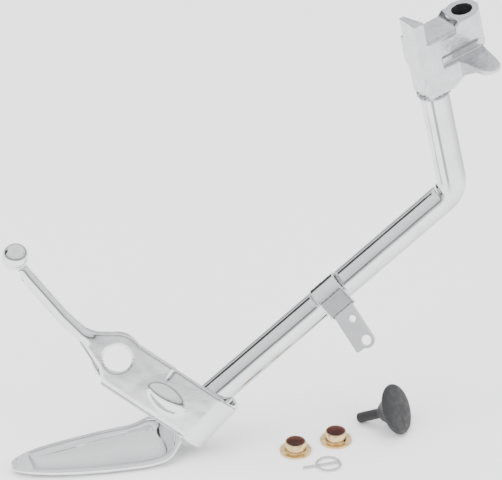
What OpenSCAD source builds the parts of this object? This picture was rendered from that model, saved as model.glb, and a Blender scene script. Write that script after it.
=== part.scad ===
// Motorcycle kickstand: a welded, plated leg with a kick lever, and its loose mounting hardware.
// The origin is on the pivot bore's axis, halfway up the boss.
// Z is up, and X runs along the ground away from the foot.

/* [Pivot head] */
// Lean of the pivot bore from the vertical, towards the foot, in degrees
axis_tilt = 10; // [0:1:15]
// Turn of the head about the pivot bore, in degrees
head_turn = 34.5; // [20:0.5:50]
// Height of the boss round the pivot bore, above the ear
boss_h = 27; // [22:0.5:34]
// Radius of the pivot bore
pivot_bore_r = 6.6; // [5.5:0.1:8]
// Wall round the pivot bore
boss_wall = 4.4; // [3.5:0.1:7]
// Distance from the pivot bore to the tube's centre line
shank_offset = 31.4; // [28:0.1:38]
// Drop from the boss's top face to the shelf
shelf_drop = 3.2; // [1:0.1:6]
// Height of the stop lug above the shelf
lug_h = 15; // [8:0.5:18]
// Thickness of the stop lug at its top
lug_t = 7.6; // [5:0.1:9]
// Reach of the front ear from the pivot bore
ear_reach = 37; // [30:0.5:42]
// Radius of the ear's rounded end
ear_end_r = 7; // [5:0.1:9]
// Thickness of the ear at its tip
ear_t = 3.6; // [2.5:0.1:6]
// Length of the forged neck below the boss
neck_len = 19.5; // [17:0.5:26]

/* [Leg tube] */
// Outer radius of the leg tube
tube_r = 9.525; // [8:0.005:12]
// Wall of the leg tube
tube_wall = 2.6; // [1.5:0.1:3.5]
// Distance from the middle of the boss down to the corner of the bend
bend_drop = 107.5; // [95:0.5:130]
// Angle of the bend, in degrees
bend_angle = 58; // [45:1:65]
// Turn of the leg's plane about the pivot bore, in degrees
leg_turn = 8.8; // [0:0.1:20]
// Radius of the bend on the tube's centre line
bend_r = 18; // [16:0.5:40]
// Length from the corner of the bend to the tube's lower end
shin_len = 233; // [200:1:260]

/* [Spring bracket] */
// Distance from the corner of the bend to the middle of the bracket
bracket_pos = 104; // [80:0.5:130]
// Length of the saddle along the tube
saddle_len = 19; // [16:0.5:28]
// Thickness of the bracket's plate
bracket_t = 3; // [2:0.1:4]
// Width of the tab
tab_w = 15.5; // [13:0.5:19]
// Reach of the flat between the saddle and the fold
flat_reach = 13; // [10:0.5:18]
// Reach of the tab past the fold, to the middle of its end hole
tab_reach = 23.5; // [20:0.5:30]
// Fold between the flat and the tab, in degrees
tab_fold = -12; // [-30:1:-4]
// Skew of the tab towards the foot, in degrees
tab_skew = 6.5; // [0:0.5:12]
// Radius of the spring hole
spring_hole_r = 2.1; // [1.5:0.1:3]
// Radius of the bumper hole
bumper_hole_r = 3.1; // [2.5:0.1:3.5]
// Distance between the two holes
tab_hole_gap = 16.2; // [12:0.1:18]
// Offset of both holes from the tab's middle, up the tube
tab_hole_off = 2.2; // [0:0.1:3]

/* [Kick lever] */
// Distance from the tube's lower end up to the lever's middle
lever_up = 9.6; // [6:0.1:43]
// Way round the tube that the lever's plate faces, in degrees
lever_face = 250; // [235:1:260]
// Lean of the lever down the tube, in degrees
lever_lean = 14; // [0:1:20]
// Thickness of the lever's plate
lever_t = 3.2; // [2.5:0.1:4]
// Depth of the lever's rolled edges and shank
lever_depth = 6; // [5:0.1:9]
// Half width of the lever's plate
lever_half_w = 18; // [15:0.1:20]
// Reach from the tube to the round hole
lever_hole_reach = 60.7; // [52:0.1:66]
// Radius of the round hole
lever_hole_r = 9; // [6:0.1:10]
// Reach from the tube to the ball
ball_reach = 151; // [130:0.5:160]
// Rise of the ball along the lever's plate
ball_rise = 22.5; // [15:0.5:28]
// Radius of the ball
ball_r = 8.9; // [7:0.1:10]
// Width of the shank
shank_w = 7.6; // [6:0.1:9]
// Inner radius of the curl round the leg
curl_r = 10.6; // [9.8:0.1:13]
// Length of the pressed rib
rib_len = 40; // [30:0.5:44]
// Height of the pressed rib
rib_h = 3.6; // [2:0.1:5]

/* [Foot] */
// Half width of the foot
foot_half_w = 19.8; // [16:0.1:23]
// Length of the foot's flat run, past its heel curve
foot_run = 82; // [70:1:95]
// Radius of the sole's curve at the heel
heel_r = 57; // [50:1:75]
// Yaw of the foot in plan, in degrees
foot_yaw = 15; // [8:1:20]
// Height of the foot's near rim
near_rim_h = 6.2; // [5:0.1:9]
// Height of the foot's far rim
far_rim_h = 8.5; // [6:0.1:12]
// Extra height of the far rim at the heel
heel_rise = 4.6; // [0:0.1:8]
// Extra width of the foot on its far side at the heel
heel_flare = 3.8; // [0:0.1:7]
// Lift of the toe off the ground
toe_lift = 3.5; // [0:0.1:6]
// Thickness of the foot's floor
foot_t = 2.6; // [2:0.1:4]
// Width of the foot's lip
foot_lip = 2.2; // [1.5:0.1:3]

/* [Loose hardware] */
// Outer radius of a bushing's flange
flange_r = 10.15; // [9:0.05:12]
// Thickness of a bushing's flange
flange_t = 1.5; // [1:0.1:2.5]
// Length of a bushing's barrel above its flange
barrel_h = 6.2; // [4:0.1:9]
// Radius of the bushing's running bore
bushing_bore_r = 5.59; // [4.5:0.01:5.6]
// Thickness of the bushing's liner
liner_t = 0.4; // [0.3:0.05:0.45]
// Radius of the bumper's stem
stem_r = 3.35; // [2.8:0.05:4]
// Length of the bumper's stem
stem_len = 16; // [12:0.5:20]
// Radius of the bumper's head
bumper_r = 16.8; // [14:0.1:19]
// Length from the stem's tip to the rim of the head
bumper_rim = 28; // [24:0.5:34]
// Radius of the cotter's ring, to the middle of its wire
ring_r = 7.6; // [6:0.1:10]
// Radius of the cotter's wire
wire_r = 0.85; // [0.6:0.05:1.1]
// Length of the cotter's straight leg
cotter_len = 24.5; // [20:0.5:30]

/* [Hidden] */
$fn = 64;

chrome = [0.82, 0.83, 0.85];
weld_grey = [0.70, 0.71, 0.73];
bronze = [0.80, 0.62, 0.34];
liner_brown = [0.36, 0.20, 0.16];
rubber_black = [0.09, 0.09, 0.10];

// clearances: a welded seat, a pressed seat and a cut that has to run past a face
seat_gap = 0.05;
press_gap = 0.02;
past = 1;
weld_r = 1.8;

boss_r = pivot_bore_r + boss_wall;
top_z = boss_h / 2;
bottom_z = -boss_h / 2;
tube_top_z = bottom_z - neck_len;
// the neck's flat shoulder stands just clear of the weld bead
neck_z = tube_top_z + weld_r + 0.05;

// the stepped bar between the boss and the shank, in the head's own X and Z
step_x = -boss_r + 1.5;
step_run = 3.8;
shelf_z = top_z - shelf_drop;
bar_end_x = -shank_offset - boss_r;
bar_front = boss_r;
bar_back = boss_r - 1.5;
lug_front = bar_front;
lug_back = 6;
ear_half_w = 10.8;
ear_mid_x = -5;
ear_root_t = 12;

// the leg: a vertical thigh, a bend and a slanting shin
bend_tangent = bend_r * tan(bend_angle / 2);
thigh_len = -tube_top_z;

// turns a vector of the tilted pivot frame into the part's own frame
function untilt(p) = [
    p.x * cos(axis_tilt) - p.z * sin(axis_tilt),
    p.y,
    p.x * sin(axis_tilt) + p.z * cos(axis_tilt)
];
function unturn(p, turn) = [
    p.x * cos(turn) - p.y * sin(turn),
    p.x * sin(turn) + p.y * cos(turn),
    p.z
];
// a point of the leg's frame, whose Z is the thigh, in the part's own frame
function leg_point(p) = untilt(unturn(p, leg_turn)
    + [-shank_offset * cos(head_turn), -shank_offset * sin(head_turn), 0]);
function leg_vector(p) = untilt(unturn(p, leg_turn));

shin_dir = leg_vector([-sin(bend_angle), 0, -cos(bend_angle)]);
shin_side = leg_vector([0, 1, 0]);
shin_end = leg_point([
    -sin(bend_angle) * shin_len, 0, -bend_drop - cos(bend_angle) * shin_len
]);
shin_pitch = asin(-shin_dir.z);
shin_yaw = atan2(-shin_dir.y, -shin_dir.x);

// the sole's curve starts square to the tube's end and ends flat on the ground
foot_fwd = [-cos(foot_yaw), -sin(foot_yaw), 0];
foot_side = [-sin(foot_yaw), cos(foot_yaw), 0];
heel_reach = (heel_r - tube_r) * sin(shin_pitch);
sole_drop = heel_r - (heel_r - tube_r) * cos(shin_pitch);
ground_z = shin_end.z - sole_drop;
heel_end = [shin_end.x, shin_end.y, ground_z] + foot_fwd * heel_reach;

barrel_r = pivot_bore_r - press_gap;
liner_r = bushing_bore_r + liner_t;
bushing_h = flange_t + barrel_h;
bushing_spots = [[-106.7, -52], [-81, -40.1]];

bumper_spot = [-65, -19];
bumper_yaw = -19;
bumper_lean = atan((bumper_r - stem_r) / bumper_rim);

ring_spot = [-85.8, -68];
ring_yaw = -163;

module pivot_frame() rotate([0, -axis_tilt, 0]) children();

module head_frame() pivot_frame() rotate([0, 0, head_turn]) children();

module leg_frame() {
    pivot_frame()
    translate([-shank_offset * cos(head_turn), -shank_offset * sin(head_turn), 0])
    rotate([0, 0, leg_turn])
        children();
}

// origin at the corner of the bend, Z back up the shin
module shin_frame() {
    leg_frame()
    translate([0, 0, -bend_drop])
    rotate([0, bend_angle, 0])
        children();
}

// origin on the tube's centre line, Z out of the lever's plate, and the ball towards -X
module lever_frame() {
    shin_frame()
    translate([0, 0, -lever_pos])
    rotate([90, 0, lever_face - 270])
    rotate([0, 0, lever_lean])
        children();
}

/* ---- pivot head ---- */

module head_bar_profile() {
    polygon([
        [0, top_z],
        [step_x, top_z],
        [step_x - step_run, shelf_z],
        [bar_end_x, shelf_z],
        [bar_end_x, bottom_z + 6],
        [bar_end_x + 2.5, bottom_z - 4],
        [-shank_offset - tube_r + 0.5, neck_z],
        [-shank_offset + tube_r, neck_z],
        [-shank_offset + tube_r + 3.5, neck_z + 1.5],
        [-shank_offset + tube_r + 7, neck_z + 4],
        [ear_mid_x - 4, bottom_z - ear_root_t],
        [ear_mid_x + ear_half_w - 1, bottom_z - 6],
        [ear_mid_x + ear_half_w, bottom_z + 2]
    ]);
}

// the lug is a wedge in plan, thicker at the front
module lug_plan() {
    polygon([
        [bar_end_x, -lug_front],
        [bar_end_x + lug_t, -lug_front],
        [bar_end_x + lug_t * 0.45, lug_back],
        [bar_end_x, lug_back]
    ]);
}

module ear_plan() {
    polygon([
        [ear_mid_x - ear_half_w, 0],
        [ear_mid_x - ear_half_w, -bar_front + 2],
        [ear_mid_x - ear_end_r * 0.98, -ear_reach + ear_end_r * 0.8],
        [ear_mid_x + ear_end_r * 0.98, -ear_reach + ear_end_r * 0.8],
        [ear_mid_x + ear_half_w, -bar_front + 3],
        [ear_mid_x + ear_half_w, 0]
    ]);
    translate([ear_mid_x, -ear_reach + ear_end_r])
        circle(r = ear_end_r);
}

// the ear's side view, thick at the root and thin at the tip
module ear_wedge() {
    rotate([90, 0, 90])
    translate([0, 0, ear_mid_x - 2 * ear_half_w])
    linear_extrude(4 * ear_half_w)
    polygon([
        [past, bottom_z],
        [-ear_reach - past, bottom_z],
        [-ear_reach - past, bottom_z - ear_t],
        [-ear_reach + 12, bottom_z - ear_t - 1],
        [-bar_front, bottom_z - ear_root_t],
        [past, bottom_z - ear_root_t]
    ]);
}

// the front face steps back below a ledge, above and beside the ear
module ledge_cut() {
    ledge_z = top_z - 18;
    back = 3;
    translate([-shank_offset + 5, 0, 0])
    rotate([90, 0, 90])
    linear_extrude(2 * shank_offset)
    polygon([
        [-bar_front - past, ledge_z],
        [-bar_front, ledge_z],
        [-bar_front + back, ledge_z - 4],
        [-bar_front + back, bottom_z],
        [-bar_front - past, bottom_z]
    ]);
}

module pivot_head() {
    color(chrome)
    head_frame()
    difference() {
        union() {
            translate([0, 0, bottom_z])
                cylinder(r = boss_r, h = boss_h);
            translate([0, bar_back, 0])
            rotate([90, 0, 0])
            linear_extrude(bar_front + bar_back)
                head_bar_profile();
            translate([0, 0, shelf_z - past])
            linear_extrude(lug_h + past)
                lug_plan();
            intersection() {
                translate([0, 0, bottom_z - ear_root_t])
                linear_extrude(ear_root_t)
                    ear_plan();
                ear_wedge();
            }
            hull() {
                translate([-shank_offset, 0, neck_z])
                    cylinder(r = tube_r, h = 1, $fn = 32);
                translate([bar_end_x + 1.5, -bar_front + 0.3, bottom_z + 1])
                    cube([boss_r + tube_r, bar_front + bar_back - 0.6, 4]);
            }
            translate([-shank_offset, 0, tube_top_z])
                cylinder(r = tube_r, h = weld_r + 2);
        }
        ledge_cut();
        translate([0, 0, bottom_z - 20])
            cylinder(r = pivot_bore_r, h = boss_h + 40);
    }
}

/* ---- leg tube ---- */

module tube_ring() {
    difference() {
        circle(r = tube_r);
        circle(r = tube_r - tube_wall);
    }
}

key_h = 1.2;
key_inset = 0.6;

module leg_tube() {
    color(chrome)
    leg_frame()
    translate([-bend_r, 0, -bend_drop + bend_tangent]) {
        translate([bend_r, 0, 0])
        linear_extrude(bend_drop - bend_tangent + tube_top_z)
            tube_ring();
        rotate([-90, 0, 0])
        rotate_extrude(angle = bend_angle)
        translate([bend_r, 0])
            tube_ring();
        rotate([0, bend_angle, 0])
        translate([bend_r, 0, bend_tangent - shin_len])
        linear_extrude(shin_len - bend_tangent)
            tube_ring();
        // a key inside the wall ties the bend to the shin
        rotate([0, bend_angle, 0])
        translate([bend_r, 0, -key_h / 2])
        linear_extrude(key_h)
        difference() {
            circle(r = tube_r - key_inset);
            circle(r = tube_r - tube_wall + key_inset);
        }
    }
}

// a weld bead round the tube, as a half-round ridge
module bead_profile(r) {
    difference() {
        translate([tube_r, 0])
            circle(r = r, $fn = 24);
        translate([tube_r + seat_gap - 2 * r - past, -r - past])
            square([2 * r + past, 2 * r + 2 * past]);
    }
}

module head_weld() {
    color(weld_grey)
    leg_frame()
    translate([0, 0, tube_top_z])
    rotate_extrude()
        bead_profile(weld_r);
}

/* ---- spring bracket ---- */

saddle_in_r = tube_r + seat_gap;
saddle_out_r = saddle_in_r + bracket_t;
// the way round the tube at which the flat leaves the saddle, and where the saddle ends behind
flat_face = 247;
// how far the tab's root runs into the flat, and the flat into the saddle
fold_lap = 0.2;
flat_lap = 0.6;
flat_in_x = saddle_in_r + 0.05;
saddle_wrap = 60;

module saddle_section() {
    difference() {
        circle(r = saddle_out_r);
        circle(r = saddle_in_r);
        rotate(flat_face)
        translate([-2 * saddle_out_r, 0])
            square([4 * saddle_out_r, 2 * saddle_out_r]);
        rotate(flat_face - saddle_wrap)
        translate([-2 * saddle_out_r, -2 * saddle_out_r])
            square([4 * saddle_out_r, 2 * saddle_out_r]);
    }
    rotate(flat_face)
    translate([flat_in_x, -flat_lap])
        square([bracket_t, flat_reach + flat_lap]);
}

module spring_bracket() {
    color(chrome)
    shin_frame()
    translate([0, 0, -bracket_pos]) {
        translate([0, 0, -saddle_len / 2])
        linear_extrude(saddle_len)
            saddle_section();
        rotate([0, 0, flat_face])
        translate([flat_in_x + fold_lap, flat_reach - fold_lap, 0])
        rotate([0, 0, tab_fold])
        rotate([0, 90, 0])
        rotate([0, 0, -tab_skew])
        difference() {
            linear_extrude(bracket_t) {
                translate([-tab_w / 2, bracket_t * sin(tab_fold) - 1])
                    square([tab_w, tab_reach + 1]);
                translate([-tab_hole_off, tab_reach])
                    circle(r = tab_w / 2 - tab_hole_off);
                translate([-tab_hole_off, tab_reach - past])
                    square([tab_w / 2 + tab_hole_off, 5]);
            }
            translate([-tab_hole_off, tab_reach, -past])
                cylinder(r = bumper_hole_r, h = bracket_t + 2 * past);
            translate([-tab_hole_off, tab_reach - tab_hole_gap, -past])
                cylinder(r = spring_hole_r, h = bracket_t + 2 * past);
        }
    }
}

// beads at both ends of the saddle
module bracket_weld() {
    bead = 1.5;
    color(weld_grey)
    shin_frame()
    for (side = [-1, 1])
        translate([0, 0, -bracket_pos + side * (saddle_len / 2 + seat_gap + bead)])
        rotate([0, 0, flat_face - saddle_wrap])
        rotate_extrude(angle = saddle_wrap)
            bead_profile(bead);
}

/* ---- kick lever ---- */

// the lever keeps its distance from the tube's lower end, and so from the foot
lever_pos = shin_len - lever_up;
lever_back = tube_r + seat_gap;
lever_front = lever_back + lever_t;
curl_x = 6;
curl_lean = -8;
lever_mid = 1.2;
rolled_from = 26;
lever_weld_len = 20;
pad_rise = 3.7;
neck_x = -88;
neck_y = 4;
rib_belly = 8.6;
rib_pos = [-20.5, -0.8];
rib_turn = -7;

module lever_plate_outline(inset) {
    half = lever_half_w - inset;
    polygon([
        [-lever_hole_reach, lever_mid - half],
        [curl_x + half * sin(curl_lean), lever_mid - half],
        [curl_x - half * sin(curl_lean), lever_mid + half],
        [-lever_hole_reach, lever_mid + half]
    ]);
    translate([-lever_hole_reach, pad_rise])
        circle(r = half - 1);
}

// the shank's outline, from the round pad to the ball
module shank_outline() {
    half = shank_w / 2;
    polygon([
        [-lever_hole_reach - 8.5, pad_rise + lever_half_w - 3.6],
        [-lever_hole_reach - 20.4, pad_rise + 6.5],
        [neck_x, neck_y + half + 0.7],
        [neck_x - 16, neck_y + 3.2 + half],
        [-ball_reach + 14, ball_rise - 6 + half],
        [-ball_reach + 5, ball_rise - 2.5 + half * 0.7],
        [-ball_reach + 5, ball_rise - 3 - half * 0.8],
        [-ball_reach + 12, ball_rise - 7 - half],
        [neck_x - 27, neck_y + 4.5 - half],
        [neck_x - 14, neck_y + 1 - half],
        [neck_x, neck_y - 1.2 - half],
        [-lever_hole_reach - 17, pad_rise - 9],
        [-lever_hole_reach - 6, pad_rise - lever_half_w + 4]
    ]);
}

// a spindle that lies along X: the rib's rounded back, or the hollow behind it
module rib_spindle(grow) {
    half = rib_len / 2 + grow;
    belly = rib_belly + grow;
    arc_r = (half * half + belly * belly) / (2 * belly);
    rotate([0, 90, 0])
    rotate_extrude()
    intersection() {
        translate([belly - arc_r, 0])
            circle(r = arc_r, $fn = 96);
        translate([0, -half])
            square([belly, 2 * half]);
    }
}

// the side of the lever that lies further out than a given reach
module beyond(reach) {
    translate([-2 * ball_reach, -2 * ball_reach])
        square([2 * ball_reach - reach, 4 * ball_reach]);
}

module rib_solid(grow, lift) {
    intersection() {
        translate([rib_pos.x, rib_pos.y, lever_front + lift])
        rotate([0, 0, rib_turn])
            rib_spindle(grow);
        translate([rib_pos.x - rib_len, rib_pos.y - rib_len, lever_back])
            cube([2 * rib_len, 2 * rib_len, 2 * rib_len]);
    }
}

module kick_lever() {
    color(chrome)
    lever_frame()
    difference() {
        union() {
            translate([0, 0, lever_back])
            linear_extrude(lever_t)
                lever_plate_outline(0);
            // the pad's edges and the shank are rolled back to the lever's depth
            translate([0, 0, lever_front - lever_depth])
            linear_extrude(lever_depth) {
                intersection() {
                    lever_plate_outline(0);
                    beyond(rolled_from);
                }
                shank_outline();
            }
            rib_solid(0, rib_h - rib_belly);
            // the curl round the leg
            translate([curl_x, lever_mid, lever_back - curl_r])
            rotate([0, 0, curl_lean])
            rotate([90, 0, 0])
            translate([0, 0, -lever_half_w])
            rotate([0, 0, -70])
            rotate_extrude(angle = 160)
            translate([curl_r, 0])
                square([lever_t, 2 * lever_half_w]);
        }
        // hollow behind the plate's rolled edges
        translate([0, 0, lever_front - lever_depth - past])
        linear_extrude(lever_depth - lever_t + past)
        intersection() {
            lever_plate_outline(lever_t);
            beyond(rolled_from - past);
        }
        translate([-lever_hole_reach, pad_rise, 0])
            cylinder(r = lever_hole_r, h = 4 * lever_depth);
        // the ball's seat at the end of the shank
        translate([-ball_reach, ball_rise, lever_front - lever_depth / 2])
            sphere(r = ball_r + seat_gap, $fn = 64);
    }
}

module lever_ball() {
    color(chrome)
    lever_frame()
    translate([-ball_reach, ball_rise, lever_front - lever_depth / 2])
        sphere(r = ball_r, $fn = 64);
}

// the fillet between the plate's back and the tube, on the side away from the curl
module lever_weld() {
    near = 2;
    far = 6.5;
    color(weld_grey)
    shin_frame()
    translate([0, 0, -lever_pos - lever_weld_len / 2])
    rotate([0, 0, lever_face])
    linear_extrude(lever_weld_len)
    difference() {
        polygon([
            [lever_back - seat_gap / 2, -near],
            [lever_back - seat_gap / 2, -far],
            [tube_r - 3, -far - 0.5],
            [tube_r - 3, -near]
        ]);
        circle(r = tube_r + seat_gap);
    }
}

/* ---- foot ---- */

// the foot is a loft: rings of points from the tube's round end to the toe
foot_rings = 26;
heel_rings = 12;
ring_sides = 36;
// the share of the run at which the dish starts to fill, and the half width of the toe's very end
toe_solid = 0.81;
toe_half_w = 1;

function smooth(t) = t * t * (3 - 2 * t);
function mix(a, b, t) = a + (b - a) * t;
function ring_u(k) = k < heel_rings ? 0 : (k - heel_rings) / (foot_rings - 1 - heel_rings);
function heel_t(k) = min(1, k / heel_rings);
// the rings crowd together towards the toe
function run_t(k) = sin(90 * ring_u(k));
function ring_pitch(k) = shin_pitch * (1 - heel_t(k));
function ring_yaw_at(k) = mix(shin_yaw, foot_yaw, smooth(min(1, 2 * heel_t(k))));

// the point of the sole's curve under each ring
function sole_point(k) = k < heel_rings
    ? heel_end + [0, 0, heel_r]
        - heel_r * (foot_fwd * sin(ring_pitch(k)) + [0, 0, cos(ring_pitch(k))])
    : heel_end + foot_fwd * foot_run * run_t(k) + [0, 0, toe_lift * pow(run_t(k), 4)];
function ring_side(k) = [-sin(ring_yaw_at(k)), cos(ring_yaw_at(k)), 0];
function ring_fwd(k) = [
    -cos(ring_yaw_at(k)) * cos(ring_pitch(k)),
    -sin(ring_yaw_at(k)) * cos(ring_pitch(k)),
    -sin(ring_pitch(k))
];
function ring_up(k) = cross(ring_fwd(k), ring_side(k)) * -1;

// the heel is fully wide by the middle of its curve
function widening(k) = smooth(min(1, 1.5 * heel_t(k)));

// half width, from the tube's radius through the heel to the toe's round end
function half_w(k) = k < heel_rings
    ? mix(tube_r, foot_half_w, widening(k))
    : mix(toe_half_w, foot_half_w, sqrt(max(0, 1 - pow(run_t(k), 1.7))));
// the far side is wider and taller than the near side, most of all at the heel
function near_heel(k) = k < heel_rings
    ? widening(k) * (1 - max(0, heel_t(k) - 0.5))
    : 0.5 * (1 - run_t(k));
function flare(k, side) = side > 0 ? heel_flare * near_heel(k) * side : 0;
function rim_h(k, side) =
    let(flat = mix(near_rim_h, far_rim_h + heel_rise * near_heel(k), (side + 1) / 2))
    k < heel_rings
        ? mix(tube_r, flat, widening(k))
        : flat - (toe_lift + 1) * pow(run_t(k), 6);
// how far the ring has turned from a round into a dish
function dish(k) = smooth(min(1, heel_t(k) * 1.6));
// the dish stops short of the toe, whose end is solid
function dish_depth(k) = 1 - smooth(max(0, min(1, (run_t(k) - toe_solid) / 0.05)));

function sgn_pow(v, p) = (v < 0 ? -1 : 1) * pow(abs(v), p);

// the lower half is the sole and its walls, the upper half the dish and its lip
function ring_point(k, a) =
    let(
        w = half_w(k),
        low = a > 180,
        bulge = mix(1, low ? 0.45 : 0.8, dish(k)),
        c = sgn_pow(cos(a), bulge),
        s = sgn_pow(sin(a), bulge),
        top = rim_h(k, c),
        lip = min(foot_lip, 0.4 * w),
        inner_w = mix(w, w - lip, dish(k)),
        depth = min(top - foot_t, 1.2 * w) * dish_depth(k),
        across = (low ? w * c : inner_w * c) + flare(k, c),
        up = low ? top * (1 + s) : mix(top + tube_r * s, top - depth * s, dish(k))
    )
    sole_point(k) + ring_side(k) * across + ring_up(k) * up;

foot_points = [
    for (k = [0:foot_rings - 1], j = [0:ring_sides - 1])
        ring_point(k, 360 * (j + 0.5) / ring_sides)
];
foot_faces = concat(
    [[for (j = [ring_sides - 1:-1:0]) j]],
    [
        for (k = [0:foot_rings - 2], j = [0:ring_sides - 1])
            let(n = (j + 1) % ring_sides, a = k * ring_sides, b = a + ring_sides)
                [a + j, a + n, b + n]
    ],
    [
        for (k = [0:foot_rings - 2], j = [0:ring_sides - 1])
            let(n = (j + 1) % ring_sides, a = k * ring_sides, b = a + ring_sides)
                [a + j, b + n, b + j]
    ],
    [[for (j = [0:ring_sides - 1]) (foot_rings - 1) * ring_sides + j]]
);

module foot() {
    color(chrome)
        polyhedron(foot_points, foot_faces, convexity = 6);
}

// the bead where the tube's end meets the foot
module foot_weld() {
    bead = 1.8;
    color(weld_grey)
    shin_frame()
    translate([0, 0, -shin_len + bead])
    rotate([0, 0, 90])
    rotate_extrude(angle = 100)
        bead_profile(bead);
}

/* ---- loose hardware ---- */

module bushing_shell() {
    difference() {
        union() {
            cylinder(r = flange_r, h = flange_t);
            cylinder(r = barrel_r, h = bushing_h);
        }
        translate([0, 0, -past])
            cylinder(r = liner_r, h = bushing_h + 2 * past);
    }
}

module bushing_liner() {
    difference() {
        cylinder(r = liner_r, h = bushing_h);
        translate([0, 0, -past])
            cylinder(r = bushing_bore_r, h = bushing_h + 2 * past);
    }
}

module at_bushing(n) translate([bushing_spots[n].x, bushing_spots[n].y, ground_z]) children();

module bushing_1() color(bronze) at_bushing(0) bushing_shell();

module bushing_1_liner() color(liner_brown) at_bushing(0) bushing_liner();

module bushing_2() color(bronze) at_bushing(1) bushing_shell();

module bushing_2_liner() color(liner_brown) at_bushing(1) bushing_liner();

// the bumper lies on its stem's tip and its head's rim
module rubber_bumper() {
    color(rubber_black)
    translate([bumper_spot.x, bumper_spot.y, ground_z])
    rotate([0, 0, bumper_yaw])
    rotate([0, 90 - bumper_lean, 0])
    translate([-stem_r, 0, 0])
    rotate_extrude()
    polygon([
        [0, 0],
        [stem_r, 0],
        [stem_r, stem_len],
        [stem_r * 1.7, stem_len + 1.5],
        [bumper_r * 0.62, bumper_rim - 4],
        [bumper_r - 1, bumper_rim - 1.5],
        [bumper_r, bumper_rim],
        [bumper_r - 0.8, bumper_rim + 2.2],
        [bumper_r * 0.6, bumper_rim + 3.4],
        [0, bumper_rim + 4]
    ]);
}

// a ring of wire whose end turns in, crosses the ring and stands out past it
module ring_cotter() {
    leg_r = wire_r * 1.15;
    color(chrome)
    translate([ring_spot.x, ring_spot.y, ground_z])
    rotate([0, 0, ring_yaw]) {
        translate([0, 0, wire_r])
        rotate_extrude()
        translate([ring_r, 0])
            circle(r = wire_r, $fn = 24);
        translate([-ring_r, 0, leg_r])
        rotate([0, 90, 0])
            cylinder(r = leg_r, h = cotter_len, $fn = 24);
    }
}

pivot_head();
head_weld();
leg_tube();
spring_bracket();
bracket_weld();
kick_lever();
lever_ball();
lever_weld();
foot();
foot_weld();
bushing_1();
bushing_1_liner();
bushing_2();
bushing_2_liner();
rubber_bumper();
ring_cotter();
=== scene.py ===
"""Looks of a plated motorcycle kickstand and its loose hardware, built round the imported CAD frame."""

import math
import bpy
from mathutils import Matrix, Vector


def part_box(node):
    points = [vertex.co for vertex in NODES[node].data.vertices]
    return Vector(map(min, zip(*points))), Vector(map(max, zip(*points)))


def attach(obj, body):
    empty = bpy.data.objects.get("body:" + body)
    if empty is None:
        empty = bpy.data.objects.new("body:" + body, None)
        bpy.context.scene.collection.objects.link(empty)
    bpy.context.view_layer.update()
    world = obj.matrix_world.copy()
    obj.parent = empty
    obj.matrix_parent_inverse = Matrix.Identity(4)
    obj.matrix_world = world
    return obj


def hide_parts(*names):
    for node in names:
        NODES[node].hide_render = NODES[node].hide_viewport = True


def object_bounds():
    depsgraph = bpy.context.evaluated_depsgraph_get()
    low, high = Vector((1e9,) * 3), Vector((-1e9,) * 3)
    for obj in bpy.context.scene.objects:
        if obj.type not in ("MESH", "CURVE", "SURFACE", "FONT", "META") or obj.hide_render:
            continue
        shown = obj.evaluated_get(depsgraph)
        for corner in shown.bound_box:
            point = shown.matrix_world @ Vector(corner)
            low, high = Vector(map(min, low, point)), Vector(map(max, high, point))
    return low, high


bl_info = {
    "name": "Motorcycle Kickstand",
    "version": (1, 0, 0),
    "blender": (4, 5, 0),
    "location": "View3D > Sidebar > Kickstand",
    "description": "Builds a plated kickstand with its bushings, bumper and ring cotter",
    "category": "Object",
}

import bmesh
import bpy
from bpy.props import FloatProperty, FloatVectorProperty, IntProperty, PointerProperty
from mathutils import Matrix, Vector

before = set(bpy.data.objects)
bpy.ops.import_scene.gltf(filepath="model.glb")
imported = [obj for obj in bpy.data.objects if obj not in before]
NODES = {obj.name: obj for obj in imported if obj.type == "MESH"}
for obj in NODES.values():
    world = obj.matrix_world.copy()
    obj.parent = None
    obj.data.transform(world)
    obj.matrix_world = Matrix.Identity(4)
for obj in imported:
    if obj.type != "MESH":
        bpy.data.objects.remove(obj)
CAD_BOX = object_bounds()
MM = 0.001


# ---- sizes and finishes that a user may change ----


def length(name, text, default):
    return FloatProperty(name=name, description=text, default=default, unit="LENGTH", precision=5)


def angle(name, text, degrees):
    return FloatProperty(
        name=name, description=text, default=math.radians(degrees), subtype="ANGLE"
    )


def colour(name, text, default):
    return FloatVectorProperty(
        name=name, description=text, default=default, size=3, min=0, max=1, subtype="COLOR"
    )


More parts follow.
